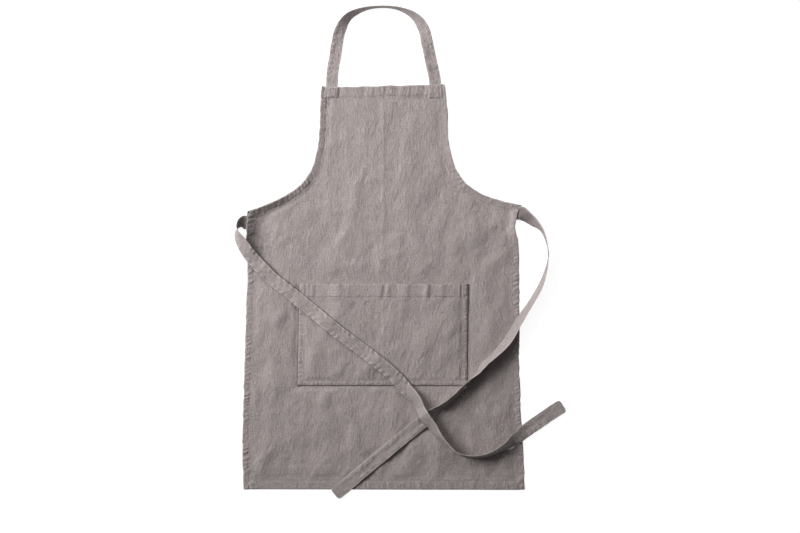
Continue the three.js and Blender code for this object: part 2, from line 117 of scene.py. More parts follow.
# Soft folds: centre x, y, half length, half width, turn from +x in degrees, height
FOLDS = [
    (-92, 735, 55, 26, 12, 1.5),
    (-205, 575, 60, 32, 70, 2.0),
    (205, 565, 60, 28, 18, 1.5),
    (292, 556, 20, 17, 90, 4.0),
    (244, 590, 28, 12, 72, 3.5),
    (280, 574, 22, 11, 80, 4.0),
    (-135, 150, 55, 32, 72, 1.5),
    (-245, 75, 50, 30, 66, 2.5),
]
DENTS = [
    (-112, 760, 30, 14, 15, 1.6),
    (-95, 548, 26, 11, 60, 1.3),
    (-108, 482, 24, 12, 70, 1.8),
    (-230, 378, 32, 13, 62, 1.8),
    (-133, 200, 26, 13, 70, 1.6),
    (-96, 206, 22, 12, 80, 1.0),
    (-268, 60, 30, 14, 62, 1.8),
    (95, 505, 40, 16, 80, 0.9),
    (240, 500, 46, 13, 35, 1.1),
    (262, 455, 40, 12, 40, 1.0),
    (262, 590, 30, 11, 20, 1.4),
    (-60, 640, 44, 15, 84, 0.8),
    (70, 690, 48, 18, 88, 0.8),
    (-40, 790, 38, 14, 86, 0.7),
    (-250, 250, 40, 14, 80, 1.0),
    (-60, 110, 46, 16, 80, 0.9),
    (60, 60, 36, 14, 84, 0.8),
    (-46, 690, 26, 5, 78, 1.0),
    (-58, 676, 20, 6, 64, 0.8),
    (40, 715, 40, 6, 82, 0.6),
]

# Edges that turn up beside the ties: columns as for the folds, and how far in these and all edges curl
EDGE_LIFTS = [
    (-302, 558, 32, 60, 90, 14.0),
    (-246, 630, 62, 40, 20, 12.0),
    (292, 576, 40, 60, 90, 8.0),
]
EDGE_REACH = 46
CURL_REACH = 19

# Tones of the waist corners, columns as for the folds: shade at the left, a lit roll at the right
CORNER_TONES = [
    (-298, 572, 50, 31, 90, 1.1),
    (282, 576, 28, 8, 80, -0.7),
]

# Shade at the root of each tie, the run over which it fades out, and shade along the tapes' rims
ROOT_SHADE = 0.9
ROOT_RUN = (32, 52)
NECK_RIM = 0.3
RIGHT_RIM = 0.2
LEFT_RIM = 1.0

# Patch pocket
POCKET_LEFT = -187
POCKET_RIGHT = 187
POCKET_BOTTOM = 228
POCKET_TOP = 452
POCKET_FLARE = -4
POCKET_SWELL = 4.5
POCKET_STEP = 2.2
POCKET_ROW = 1.4
POCKET_SIDE_BAND = 16
POCKET_FOOT_BAND = 11
POCKET_SEAM = 2.5
POCKET_TURN = 0.35
POCKET_DENTS = [
    (-90, 408, 40, 20, 78, 2.4),
    (-118, 362, 30, 16, 66, 1.6),
    (92, 330, 40, 24, 60, 1.8),
    (146, 348, 22, 12, 55, 1.6),
    (130, 296, 34, 18, 40, 1.6),
    (-155, 286, 30, 16, 70, 1.2),
    (-30, 268, 26, 16, 40, 1.2),
    (-96, 262, 20, 11, 70, 1.4),
    (40, 380, 34, 14, 84, 0.9),
]

# Ridges across the pocket's mouth hem: x, run up, run down, height
MOUTH_RIDGES = [
    (-154, 12, 4, 0.9),
    (-98, 16, 8, 1.8),
    (-3, 14, 3, 1.5),
    (9, 3, 8, 1.2),
    (52, 14, 8, 1.4),
    (98, 10, 5, 1.6),
    (130, 12, 7, 1.2),
]

# Strap ends sewn in between hem and panel: middle, half sizes of the raised patch, and its fall
TUCKS = [
    (-114, 893, 13, 30, 2),
    (114, 893, 13, 30, 3),
    (-300, 587, 12, 17, 14),
    (300, 607, 16, 17, 8),
]

# Routes of the tapes: x, y, lift, bank in degrees that raises the left edge as the tape runs on
NECK_ROUTE = [
    (-114.5, 866, 0, 0),
    (-113.5, 890, 0, 0),
    (-112.5, 912, 1, 0),
    (-109.5, 934, 2, 0),
    (-105.5, 956, 2, 2),
    (-102.5, 978, 2, 6),
    (-95, 1010, 1, 22),
    (-76, 1039, 0, 55),
    (-42, 1055, 0, 82),
    (-2, 1060, 0, 90),
    (37, 1055, 0, 82),
    (70, 1038, 0, 55),
    (89, 1010, 1, 22),
    (97, 978, 2, 6),
    (101.5, 956, 2, 2),
    (106, 934, 2, 0),
    (111, 912, 1, 0),
    (113.5, 892, 0, 0),
    (114, 870, 0, 0),
]
RIGHT_ROUTE = [
    (288, 608, 0, 0),
    (303, 607, 0, 4),
    (308, 604, 1.5, 24),
    (316, 598.5, 2, 42),
    (330.5, 587, 1, 56),
    (342, 576.5, 0.5, 76),
    (350, 564.5, 0, 86),
    (357, 545, 0, 92),
    (361, 518, 0, 97),
    (357, 487, 0, 88),
    (344, 448, 0, 76),
    (324, 412, 0, 71),
    (300, 375, 0, 63),
    (271, 327, 0, 58),
    (236, 289.5, 0, 72),
    (228, 283.5, 0, 73),
    (220.5, 276, 0, 70),
    (214, 268, 0, 74),
    (208.5, 260, 0, 82),
    (197, 249, 0, 92),
    (187, 240, 0, 98),
    (174, 226, 0, 106),
    (158, 208.5, 0, 111),
    (135, 189, 0, 116),
    (119, 176.5, 0, 133),
    (104, 165, 0, 155),
    (76, 142, 0, 173),
    (16, 93, 0, 178),
    (-92, 2, 0, 180),
    (-107, -10.6, 0, 180),
]
LEFT_ROUTE = [
    (-286, 587, 0.7, 0),
    (-295, 587, 0.7, 0),
    (-302, 587, 0.7, 0),
    (-305, 587, 1.6, -6),
    (-309.5, 586, 7, -30),
    (-313, 584.2, 11.2, -50),
    (-316, 581.3, 14, -68),
    (-319.2, 576.6, 15, -85),
    (-321, 571, 15, -100),
    (-321, 565, 14.8, -113),
    (-318.5, 558, 14.4, -126),
    (-313.5, 548.5, 14, -141),
    (-306.5, 537, 13, -154),
    (-297.5, 523.5, 11, -165),
    (-288, 510.5, 7.5, -173),
    (-277.5, 498, 3.6, -178),
    (-267, 487, 1, -180),
    (-243, 463, 0, -180),
    (-211, 438, 0, -180),
    (-154, 392, 0, -180),
    (-96, 345, 0, -180),
    (-36, 300, 0, -180),
    (10, 263, 0, -180),
    (34, 240, 0, -178),
    (48, 224, 0, -171),
    (62, 209.5, 0, -154),
    (73, 197, 0, -138),
    (82, 177.5, 0.5, -134),
    (93.3, 158, 1, -141),
    (104.5, 144.5, 1, -134),
    (119, 124.5, 1, -119),
    (130, 112, 0.5, -110),
    (142.5, 99, 0, -103),
    (156.5, 86.8, 0, -98),
    (171, 78.6, 0, -101),
    (192, 74.5, 0, -105),
    (212, 75, 0, -109),
    (231, 79, 0, -112),
    (256, 90.8, 0, -119),
    (273, 101, 0, -131),
    (292, 115, 0, -155),
    (312, 129.5, 0, -172),
    (336, 146, 0, -180),
    (364, 165, 0.5, -183),
    (395, 185, 0.5, -184),
]

# Share of its height that the left tie carries by itself, along the first rows of its route
LEFT_FREE = [1.0] * 15 + [0.6]

# Tapes: steps of the route and of the mesh, steps that their stiffness spans, sinking of a standing edge
TAPE_STEP = 3.5
TAPE_FINE_STEP = 2.2
SETTLE_REACH = 2
PRESS = 0.8

# Ends between panel and hem: the strap's below this y, the right tie's left of this x and above this y
STRAP_SEWN_Y = 905
TIE_SEWN_X = 312
TIE_SEWN_Y = 580

# Where the turned-up edges carry a tie: from this far outside the edge, and from this height on
CARRY_OUTSIDE = (-19, -4)
CARRY_Y = (560, 575)

# Stitches: length, pitch, half thickness, depth of the groove they pull
STITCH = 2.8
STITCH_PITCH = 3.6
THREAD = 0.3
GROOVE = 0.4

# Rays dropped on the pieces laid so far
SKY = 200.0
DOWN = (0.0, 0.0, -1.0)

# Names shared by meshes and materials
CLOTH_MAP = "Cloth"
WEAR_AND_PAINTED_LIGHT = "wear_and_painted_light"


def smooth(value, low, high):
    """Eased step: 0 up to low, 1 from high on."""
    share = np.clip((value - low) / (high - low), 0.0, 1.0)
    return share * share * (3.0 - 2.0 * share)


def fade(value, full, none):
    """Eased step down: 1 up to full, 0 from none on."""
    return 1.0 - smooth(value, full, none)


def ridge(off, half):
    """Soft ridge across a line: 1 on it, falling off over the half width."""
    return np.exp(-((off / half) ** 2))


def towards_edge(depth, reach):
    """Curve of an edge: 1 on it, 0 from the reach on."""
    return np.clip(1 - depth / reach, 0, 1) ** 2


def unit(vectors):
    return vectors / np.linalg.norm(vectors, axis=-1, keepdims=True)


def stations_of(points):
    """Distance along a line from its first point to each of its points."""
    return np.append(0.0, np.cumsum(np.linalg.norm(np.diff(points, axis=0), axis=1)))


def along_line(stations, values, at):
    """Values of a line, one row per station, at other stations."""
    return np.stack([np.interp(at, stations, column) for column in values.T], axis=1)


def noise(u, v, seed):
    """Smooth noise of about -1 to 1, with one knot per unit of u and v."""
    knots = 256
    turns = np.random.default_rng(seed).uniform(0.0, 2.0 * math.pi, (knots, knots))
    u, v = np.broadcast_arrays(np.asarray(u, float), np.asarray(v, float))
    knot_u, knot_v = np.floor(u).astype(int), np.floor(v).astype(int)
    part_u, part_v = u - knot_u, v - knot_v
    ease_u = part_u**3 * (part_u * (6.0 * part_u - 15.0) + 10.0)
    ease_v = part_v**3 * (part_v * (6.0 * part_v - 15.0) + 10.0)
    total = np.zeros_like(u)
    for step_u in (0, 1):
        for step_v in (0, 1):
            turn = turns[(knot_u + step_u) % knots, (knot_v + step_v) % knots]
            slope = np.cos(turn) * (part_u - step_u) + np.sin(turn) * (part_v - step_v)
            total += slope * np.abs(1 - step_u - ease_u) * np.abs(1 - step_v - ease_v)
    return 1.5 * total


def bumps(table, x, y):
    """Sum of soft mounds, one for each row of a table of folds."""
    height = np.zeros_like(x)
    for middle_x, middle_y, along, across, turn, rise in table:
        cos, sin = math.cos(math.radians(turn)), math.sin(math.radians(turn))
        run = ((x - middle_x) * cos + (y - middle_y) * sin) / along
        side = ((y - middle_y) * cos - (x - middle_x) * sin) / across
        height += rise * np.exp(-run * run - side * side)
    return height


def crinkle(x, y, seed):
    """Creases of washed linen, mostly along the warp, in millimetres above the flat."""
    wander = 9.0 * noise(x / 50, y / 60, seed)
    streak = 1.0 - np.abs(noise((x + wander) / 13, y / 52, seed + 1))
    slant = 1.0 - np.abs(noise((x - 0.4 * y) / 20, (y + 0.4 * x) / 46, seed + 2))
    cross = noise((x + wander) / 26, (y + wander) / 20, seed + 3)
    soft = noise(x / 36, y / 60, seed + 4)
    broad = noise(x / 95, y / 130, seed + 5)
    height = 0.8 * streak + 0.8 * slant + 0.5 * cross + 2.2 * soft + 2.6 * broad
    return np.maximum(height + 0.9, 0.0)


def puckers(run, spacing, seed):
    """Swells between stitches, uneven along a run, from 0 to about 1."""
    turns = run / spacing + 0.8 * noise(run / (2.6 * spacing), 0.5, seed)
    swells = np.abs(np.sin(math.pi * turns)) ** 1.3
    return swells * (0.8 + 0.6 * noise(run / (1.9 * spacing), 5.5, seed + 1))


# Plan of the panel

def spline(knots, cell, share):
    """Points between two knots of a smooth curve through all of them."""
    before, start = knots[max(cell - 1, 0)], knots[cell]
    end, after = knots[cell + 1], knots[min(cell + 2, len(knots) - 1)]
    t = share[:, None]
    lead = (t**3 - 2 * t**2 + t) * 0.5 * (end - before)
    trail = (t**3 - t**2) * 0.5 * (after - start)
    return start + (3 * t**2 - 2 * t**3) * (end - start) + lead + trail


def bezier(start, first, second, end, share):
    t = share[:, None]
    s = 1 - t
    return s**3 * start + 3 * t * s**2 * first + 3 * t**2 * s * second + t**3 * end


# Rows of the fine grid, counted in cells from the bottom edge
WAIST_CELL = sum(row[4] for row in SKIRT[:-1])
BIB_HEM_CELL = WAIST_CELL + ARMHOLE_CELLS + BIB_CELLS
LAST_CELL = BIB_HEM_CELL + 1
EVEN_SHARES = np.arange(FINE) / FINE
TOP_SHARES = 1.0 - np.append(HEM_SHARES, 1.0)[:0:-1]
STATIONS = np.concatenate(
    [HEM_SHARES]
    + [cell + EVEN_SHARES for cell in range(1, BIB_HEM_CELL)]
    + [BIB_HEM_CELL + TOP_SHARES, [LAST_CELL]]
)
HEM_ROW = FINE
WAIST_ROW = FINE * WAIST_CELL
BIB_HEM_ROW = FINE * BIB_HEM_CELL


def shares_between(first, last):
    inside = STATIONS[(STATIONS >= first) & (STATIONS < last)]
    return (inside - first) / (last - first)


def side_edge(side):
    """One edge of the panel, from the bottom corner up to the bib corner."""
    knots = np.array([row[2 * side : 2 * side + 2] for row in SKIRT], float)
    edge = []
    first = 0
    for cell, row in enumerate(SKIRT[:-1]):
        edge.append(spline(knots, cell, shares_between(first, first + row[4])))
        first += row[4]
    bib, bib_pull, waist_pull = (np.array(value, float) for value in ARMHOLES[side])
    shares = shares_between(WAIST_CELL, WAIST_CELL + ARMHOLE_CELLS)
    edge.append(bezier(knots[-1], knots[-1] + waist_pull, bib + bib_pull, bib, shares))
    corner = np.array(BIB_CORNERS[side], float)
    hem_line = corner + (bib - corner) * BIB_HEM / np.linalg.norm(bib - corner)
    shares = shares_between(WAIST_CELL + ARMHOLE_CELLS, BIB_HEM_CELL)
    edge.append(bib + (hem_line - bib) * shares[:, None])
    edge.append(hem_line + (corner - hem_line) * shares_between(BIB_HEM_CELL, LAST_CELL)[:, None])
    edge.append(corner[None])
    return np.concatenate(edge)


def inset_edge(edge, inward):
    """The edge drawn in by the side hem, mitred at the waist corner."""
    knots = edge[::FINE]
    ahead = unit(np.diff(knots, axis=0))
    before, after = np.vstack([ahead[:1], ahead]), np.vstack([ahead, ahead[-1:]])
    both = before + after
    normal = unit(np.stack([both[:, 1], -both[:, 0]], axis=1))
    reach = normal[:, 0] * after[:, 1] - normal[:, 1] * after[:, 0]
    inner = knots + normal * (inward * SIDE_HEM / reach)[:, None]
    return along_line(np.arange(LAST_CELL + 1), inner, STATIONS)


def panel_plan():
    """Grid of the panel seen from above, with a slight ripple in its edges."""
    left, right = side_edge(0), side_edge(1)
    left_in, right_in = inset_edge(left, 1), inset_edge(right, -1)
    ripple = 1.4 * noise(STATIONS * 1.9, 0.5, 11), 1.4 * noise(STATIONS * 1.9, 9.5, 12)
    left = left + unit(left - left_in) * ripple[0][:, None]
    right = right + unit(right - right_in) * ripple[1][:, None]
    columns = [left + (left_in - left) * share for share in HEM_SHARES]
    for k in range(PANEL_COLUMNS + 1):
        columns.append(left_in + (right_in - left_in) * k / PANEL_COLUMNS)
    columns += [right + (right_in - right) * share for share in HEM_SHARES[::-1]]
    plan = np.stack(columns, axis=1)
    top_share = np.clip(STATIONS - BIB_HEM_CELL, 0, 1)[:, None]
    plan[..., 1] += 1.6 * top_share * noise(plan[..., 0] / 30, 0.5, 13)
    return plan


# Hems of the panel: width, pucker height, pucker spacing, slant, curl of the edge, depth of the seam
SIDE_LEFT = (SIDE_HEM, 2.3, 10, -0.4, 1.4, 0.6)
ARMHOLE_LEFT = (SIDE_HEM, 2.6, 10, 0.4, 6.5, 0.8)
BIB_TOP = (BIB_HEM, 0.9, 11, 0.1, 1.0, 1.0)
ARMHOLE_RIGHT = (SIDE_HEM, 1.5, 10, -0.4, 4.5, 0.8)
SIDE_RIGHT = (SIDE_HEM, 2.0, 10, 0.4, 2.0, 0.5)
BOTTOM = (BOTTOM_HEM, 3.2, 11, 0.2, 0.8, 0.9)

# Run left between two hems, so that their puckers differ
HEM_RUN_APART = 40.0

# Sunk puckers of the bib hem: x, half width, depth
BIB_PUCKERS = [
    (-97, 5, 1.4),
    (-43, 6, 1.8),
    (3, 4, 1.4),
    (27, 6, 1.6),
    (62, 7, 1.0),
    (86, 6, 1.8),
]


def hem_places(plan):
    """For each point of the plan: run along the nearest edge, distance from it, and that hem's values."""
    runs = [
        (plan[: WAIST_ROW + 1, 0], SIDE_LEFT),
        (plan[WAIST_ROW:, 0], ARMHOLE_LEFT),
        (plan[-1], BIB_TOP),
        (plan[WAIST_ROW:, -1], ARMHOLE_RIGHT),
        (plan[: WAIST_ROW + 1, -1], SIDE_RIGHT),
        (plan[0], BOTTOM),
    ]
    points = np.concatenate([line for line, _ in runs])
    aheads = np.concatenate([unit(np.gradient(line, axis=0)) for line, _ in runs])
    hems = np.concatenate([np.tile(hem, (len(line), 1)) for line, hem in runs])
    stations = []
    start = 0.0
    for line, _ in runs:
        stations.append(start + stations_of(line))
        start = stations[-1][-1] + HEM_RUN_APART
    stations = np.concatenate(stations)
    tree = KDTree(len(points))
    for i, point in enumerate(points):
        tree.insert((*point, 0.0), i)
    tree.balance()
    flat = plan.reshape(-1, 2)
    nearest = np.array([tree.find((*point, 0.0))[1] for point in flat])
    off = flat - points[nearest]
    along = np.sum(off * aheads[nearest], axis=1)
    depth = np.sqrt(np.maximum(np.sum(off * off, axis=1) - along * along, 0.0))
    shape = plan.shape[:2]
    run = (stations[nearest] + along).reshape(shape)
    return run, depth.reshape(shape), np.moveaxis(hems[nearest].reshape(*shape, -1), -1, 0)


def beside_pocket(x, y):
    """Distance outside the pocket's sides and foot, below 0 within them."""
    return np.maximum(np.maximum(POCKET_LEFT - x, x - POCKET_RIGHT), POCKET_BOTTOM - y)


def outside_pocket(x, y):
    return np.maximum(beside_pocket(x, y), y - POCKET_TOP)


def tuck_rise(x, y):
    """How far the ends sewn in under the panel raise it."""
    rise = np.zeros_like(x)
    for middle_x, middle_y, half_x, half_y, fall in TUCKS:
        beside = fade(np.abs(x - middle_x) - half_x, 0, fall)
        rise = np.maximum(rise, TUCK * beside * fade(np.abs(y - middle_y) - half_y, 0, fall))
    return rise


def centre_crease(x, y):
    """Ridge left by the fold that the apron was pressed with."""
    wander = 2.0 * noise(y / 60, 3.5, 21)
    strength = 0.75 + 0.5 * noise(y / 45, 8.5, 22)
    off = np.abs(x - wander)
    return strength * (1.2 * np.exp(-off / 4) + 0.6 * np.exp(-off / 22))


# Meshes, and the shift from apron millimetres to the frame

POCKET_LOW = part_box("pocket")[0]
SHIFT = np.array(
    [POCKET_LOW.x / MM - POCKET_LEFT - POCKET_FLARE, POCKET_LOW.y / MM - POCKET_BOTTOM, 0.0]
)


def to_frame(points):
    return (np.asarray(points, float) + SHIFT) * MM


def quads(index):
    corners = [index[:-1, :-1], index[:-1, 1:], index[1:, 1:], index[1:, :-1]]
    return np.stack(corners, axis=-1).reshape(-1, 4)


class Shape:
    """Points in millimetres, faces, cloth coordinates, and wear with painted light: above 0 worn or painted
    highlight, below 0 painted shade.
    """

    def __init__(self, points, faces, plan, wear_and_painted_light):
        self.points = np.asarray(points, float)
        self.faces = faces
        self.plan = np.asarray(plan, float)
        self.wear_and_painted_light = np.asarray(wear_and_painted_light, float)

    def tree(self):
        return BVHTree.FromPolygons(self.points.tolist(), self.faces)


def closed_sheet(top, under, plan, wear_and_painted_light, rows_kept=None, columns_kept=None):
    """A closed sheet with a fine upper side and an under side on the kept rows and columns."""
    high, wide = top.shape[:2]
    rows_kept = np.arange(high) if rows_kept is None else np.asarray(rows_kept)
    columns_kept = np.arange(wide) if columns_kept is None else np.asarray(columns_kept)
    upper = np.arange(high * wide).reshape(high, wide)
    lower = high * wide + np.arange(len(rows_kept) * len(columns_kept)).reshape(len(rows_kept), -1)
    faces = quads(upper).tolist() + quads(lower)[:, ::-1].tolist()
    sides = [
        (upper[0], lower[0], columns_kept),
        (upper[:, -1], lower[:, -1], rows_kept),
        (upper[-1, ::-1], lower[-1, ::-1], wide - 1 - columns_kept[::-1]),
        (upper[::-1, 0], lower[::-1, 0], high - 1 - rows_kept[::-1]),
    ]
    for above, below, kept in sides:
        for k in range(len(kept) - 1):
            rim = above[kept[k] : kept[k + 1] + 1]
            faces.append([*below[k : k + 2].tolist(), *rim[::-1].tolist()])
    kept_grid = np.ix_(rows_kept, columns_kept)

    def joined(above, below):
        both = (above, below[kept_grid])
        return np.concatenate([values.reshape(-1, values.shape[-1]) for values in both])

    tone = wear_and_painted_light[..., None]
    return Shape(joined(top, under), faces, joined(plan, plan), joined(tone, tone)[:, 0])


def layer(plan, height):
    return np.concatenate([plan, height[..., None]], axis=-1)


def panel_relief(x, y, run, depth, hem):
    """Creases, dents, puckers and seams of the panel's upper side, and the depth of the seams alone."""
    width, pucker, spacing, slant, _, seam = hem
    open_cloth = np.maximum(smooth(beside_pocket(x, y), 1, 14), smooth(y - POCKET_TOP, -4, 40))
    inner = smooth(depth, width - 3, width + 14)
    relief = open_cloth * inner * (1.4 - 0.5 * smooth(y, 560, 760)) * crinkle(x, y, 41)
    relief += 1.7 * open_cloth * smooth(outside_pocket(x, y), 8, 30) * bumps(DENTS, x, y)
    relief += open_cloth * smooth(y, 180, 240) * centre_crease(x, y)
    band = smooth(depth, 0.3, 2) * fade(depth, 0.6 * width, width + 4)
    patches = 0.25 + 1.1 * np.clip(noise(run / 38, 2.5, 52) + 0.4, 0, 1)
    relief += band * patches * pucker * puckers(run + slant * depth, spacing, 51)
    bib_band = smooth(y, 850, 870)
    for place, half, sunk in BIB_PUCKERS:
        relief -= bib_band * sunk * ridge(x - place - 0.15 * (y - 870), half)
    relief += bib_band * fade(depth, 22, 30) * 1.4
    stitched = seam * ridge(depth - width + HEM_SEAM, 1.1)
    relief = relief * (1 - 0.8 * stitched) - GROOVE * stitched
    return np.maximum(relief, -0.5), stitched


def hem_bands(plan, base, depth):
    """The turned hems, each one layer of cloth under an edge of the panel."""
    last = plan.shape[1] - 1
    inside = len(HEM_SHARES)
    left, right, whole = slice(0, inside + 1), slice(last - inside, last + 1), slice(0, last + 1)
    side, armhole = slice(HEM_ROW, WAIST_ROW + 1), slice(WAIST_ROW, BIB_HEM_ROW + 1)
    bands = {
        "bottom_hem": (slice(0, HEM_ROW + 1), whole, False),
        "bib_hem": (slice(BIB_HEM_ROW, None), whole, False),
        "side_hem_left": (side, left, True),
        "side_hem_right": (side, right, True),
        "armhole_hem_left": (armhole, left, True),
        "armhole_hem_right": (armhole, right, True),
    }
    shapes = {}
    for name, (rows, columns, between) in bands.items():
        part = plan[rows, columns].copy()
        lower = np.maximum(base[rows, columns] - RIM, 0.0)
        if between:
            for end, following in ((0, 1), (-1, -2)):
                part[end] += GAP * unit(part[following] - part[end])
        wear_and_painted_light = 0.9 * fade(depth[rows, columns], 0.3, 2.4)
        upper = lower + CLOTH - HEM_ROUND_FALL * towards_edge(depth[rows, columns], ROUND_REACH)
        shapes[name] = closed_sheet(layer(part, upper), layer(part, lower), part, wear_and_painted_light)
    return shapes


def panel_pieces():
    """The panel and the turned hems under its edges."""
    plan = panel_plan()
    x, y = plan[..., 0], plan[..., 1]
    run, depth, hem = hem_places(plan)
    width, curl = hem[0], hem[4]
    folds = smooth(outside_pocket(x, y), 26, 60) * bumps(FOLDS, x, y)
    edge_curl = curl * (0.75 + 0.5 * noise(run / 60, 1.5, 31)) * towards_edge(depth, CURL_REACH)
    edge_curl += bumps(EDGE_LIFTS, x, y) * towards_edge(depth, EDGE_REACH)
    base = RIM * fade(depth, width - 1, width + 8) + folds + edge_curl
    relief, stitched = panel_relief(x, y, run, depth, hem)
    raised = tuck_rise(x, y)
    under = base + raised
    top = under + CLOTH + relief + 0.7 * raised - ROUND_FALL * towards_edge(depth, ROUND_REACH)
    broken = 0.6 + 0.8 * noise(run / 6, 7.5, 53)
    # Worn light along the edges, painted shade in the hem seams, painted shade at the left waist corner and
    # painted light on the right one's roll
    wear_and_painted_light = 0.9 * fade(depth, 0.3, 2.2) - 0.25 * broken * stitched - bumps(CORNER_TONES, x, y)
    last = plan.shape[1] - 1
    inside = len(HEM_SHARES)
    columns_kept = [0, 5, *range(inside, last - inside + 1, UNDER_COLUMNS), last - 5, last]
    rows_kept = np.arange(0, len(STATIONS), FINE)
    panel = closed_sheet(layer(plan, top), layer(plan, under), plan, wear_and_painted_light, rows_kept, columns_kept)
    return {"apron_panel": panel, **hem_bands(plan, base, depth)}


def steps_with_fine_ends(length, step):
    """Even steps along a length, closer together at its two ends."""
    ends = np.array([0, 0.5, 1.3, 2.4])
    count = round((length - 8) / step)
    return np.concatenate([ends, 4 + (length - 8) * np.arange(count + 1) / count, length - ends[::-1]])


def pocket_relief(x, y, from_side, from_foot, from_mouth):
    """Creases, ridges, puckers and seams of the pocket's upper side, and its wear with painted light and
    shade.
    """
    sewn = np.minimum(from_side, from_foot)
    mouth = fade(from_mouth, POCKET_HEM - 2, POCKET_HEM + 10)
    relief = smooth(sewn, 6, 22) * (1.0 - 0.7 * mouth) * crinkle(x, y, 71)
    relief += smooth(sewn, 10, 40) * centre_crease(x, y)
    for place, rise_over, fall_over, rise in MOUTH_RIDGES:
        off = x - place - 0.1 * (y - POCKET_TOP)
        relief += 2.0 * mouth * rise * ridge(off, np.where(off < 0, rise_over, fall_over))
    relief += 0.5 * mouth * smooth(from_side, 14, 24) * (1 + noise(x / 9, y / 90, 73))
    hem_end = fade(from_mouth, POCKET_HEM - 2, POCKET_HEM + 3)
    from_side_seam = from_side - POCKET_SIDE_BAND
    from_mouth_seam = from_mouth - POCKET_HEM + MOUTH_SEAM
    relief += 1.8 * hem_end * ridge(np.abs(from_side_seam) - 4.2, 2.4)
    side_band = smooth(from_side, 2, 4) * fade(from_side, 7, 12)
    foot_band = smooth(from_foot, 2, 4) * fade(from_foot, 7, POCKET_FOOT_BAND)
    relief += 2.6 * side_band * puckers(y + 0.1 * x, 7, 74)
    relief += 2.0 * foot_band * puckers(x, 8, 75)
    lines = [from_side - POCKET_SEAM, from_side_seam, from_foot - POCKET_SEAM, from_mouth_seam]
    stitched = np.max([ridge(line, 1.0) for line in lines], axis=0)
    relief = relief * (1 - 0.6 * stitched) - GROOVE * stitched * smooth(sewn, 0.5, 2)
    # Worn light at the mouth edge, a painted highlight inside the foot, painted shadow along the sewn
    # edges, and painted shade in the seams and at the mouth hem's ends
    wear_and_painted_light = 0.4 * fade(from_mouth, 0.3, 2.2)
    wear_and_painted_light += 0.8 * smooth(from_foot, 1.6, 2.4) * fade(from_foot, 2.6, 4)
    wear_and_painted_light -= 1.6 * fade(sewn, 1.4, 2.6)
    wear_and_painted_light = wear_and_painted_light - 0.2 * stitched * smooth(sewn, 3, 6) - 0.3 * ridge(from_mouth_seam, 1.3)
    wear_and_painted_light -= 0.8 * hem_end * ridge(from_side_seam, 1.6)
    return np.maximum(relief, -0.5), wear_and_painted_light


def pocket_pieces():
    """The pocket, sewn down on three sides and swelling towards its mouth, and its turned mouth hem."""
    width, height = POCKET_RIGHT - POCKET_LEFT, POCKET_TOP - POCKET_BOTTOM
    u = (steps_with_fine_ends(width, POCKET_STEP) / width)[None, :]
    v = (steps_with_fine_ends(height, POCKET_ROW) / height)[:, None]
    left = POCKET_LEFT + POCKET_FLARE * (1 - v)
    right = POCKET_RIGHT + 0.5 * POCKET_FLARE * (1 - v)
    x = left + (right - left) * u
    y = POCKET_BOTTOM + height * v + 0 * u
    from_side = np.minimum(x - left, right - x)
    from_foot, from_mouth = y - POCKET_BOTTOM, POCKET_TOP - y
    x = x + 0.5 * fade(from_side, 0, 4) * noise(y / 9, 2.5, 61)
    y = y + 0.5 * fade(from_foot, 0, 4) * noise(x / 9, 2.5, 62)
    y = y + 0.8 * fade(from_mouth, 0, 6) * noise(x / 26, 4.5, 63)
    plan = np.stack([x, y], axis=-1)
    swell = POCKET_SWELL * (1 - np.abs(2 * u - 1) ** 4) * (1 - (1 - v) ** 4)
    sewn = np.minimum(from_side, from_foot)
    side_turn = fade(from_side, POCKET_SIDE_BAND - 2, POCKET_SIDE_BAND + 1.5)
    foot_turn = fade(from_foot, POCKET_FOOT_BAND - 2, POCKET_FOOT_BAND + 1.5)
    turned = np.maximum(side_turn, foot_turn) * smooth(sewn, 0, 2)
    under = RIM + RIM * fade(from_mouth, POCKET_HEM + 2, POCKET_HEM + 40) + swell + POCKET_TURN * turned
    under = under + 2.4 * smooth(sewn, 8, 34) * bumps(POCKET_DENTS, x, y)
    relief, wear_and_painted_light = pocket_relief(x, y, from_side, from_foot, from_mouth)
    top = under + CLOTH + relief
    top -= ROUND_FALL * towards_edge(np.minimum(sewn, from_mouth), ROUND_REACH)
    rows = v[:, 0] >= 1 - POCKET_HEM / height
    lower = under[rows] - RIM
    upper = lower + CLOTH
    part = plan[rows]
    return {
        "pocket": closed_sheet(layer(plan, top), layer(plan, under), plan, wear_and_painted_light),
        "pocket_hem": closed_sheet(layer(part, upper), layer(part, lower), part, wear_and_painted_light[rows]),
    }


# Tapes

def through(stations, table, at):
    """Smooth values at given stations, through every row of a table."""
    spans = np.diff(stations)
    slopes = np.empty_like(table)
    slopes[1:-1] = (table[2:] - table[:-2]) / (stations[2:] - stations[:-2])[:, None]
    slopes[0] = 1.5 * (table[1] - table[0]) / spans[0] - 0.5 * slopes[1]
    slopes[-1] = 1.5 * (table[-1] - table[-2]) / spans[-1] - 0.5 * slopes[-2]
    cell = np.clip(np.searchsorted(stations, at, side="right") - 1, 0, len(spans) - 1)
    t = ((at - stations[cell]) / spans[cell])[:, None]
    span = spans[cell][:, None]
    rise = (3 * t**2 - 2 * t**3) * (table[cell + 1] - table[cell])
    lead = (t**3 - 2 * t**2 + t) * span * slopes[cell]
    return table[cell] + rise + lead + (t**3 - t**2) * span * slopes[cell + 1]


def route_steps(route, free):
    """Even steps along a route: x, y, lift, bank and free share on one smooth curve."""
    table = np.array([(*row, 0) for row in route], float)
    table[: len(free), 4] = free
    stations = stations_of(table[:, :2])
    count = round(stations[-1] / TAPE_STEP)
    steps = through(stations, table, np.linspace(0, stations[-1], count + 1))
    steps[:, 2] = np.maximum(steps[:, 2], 0.0)
    steps[:, 3] = np.radians(steps[:, 3])
    return steps


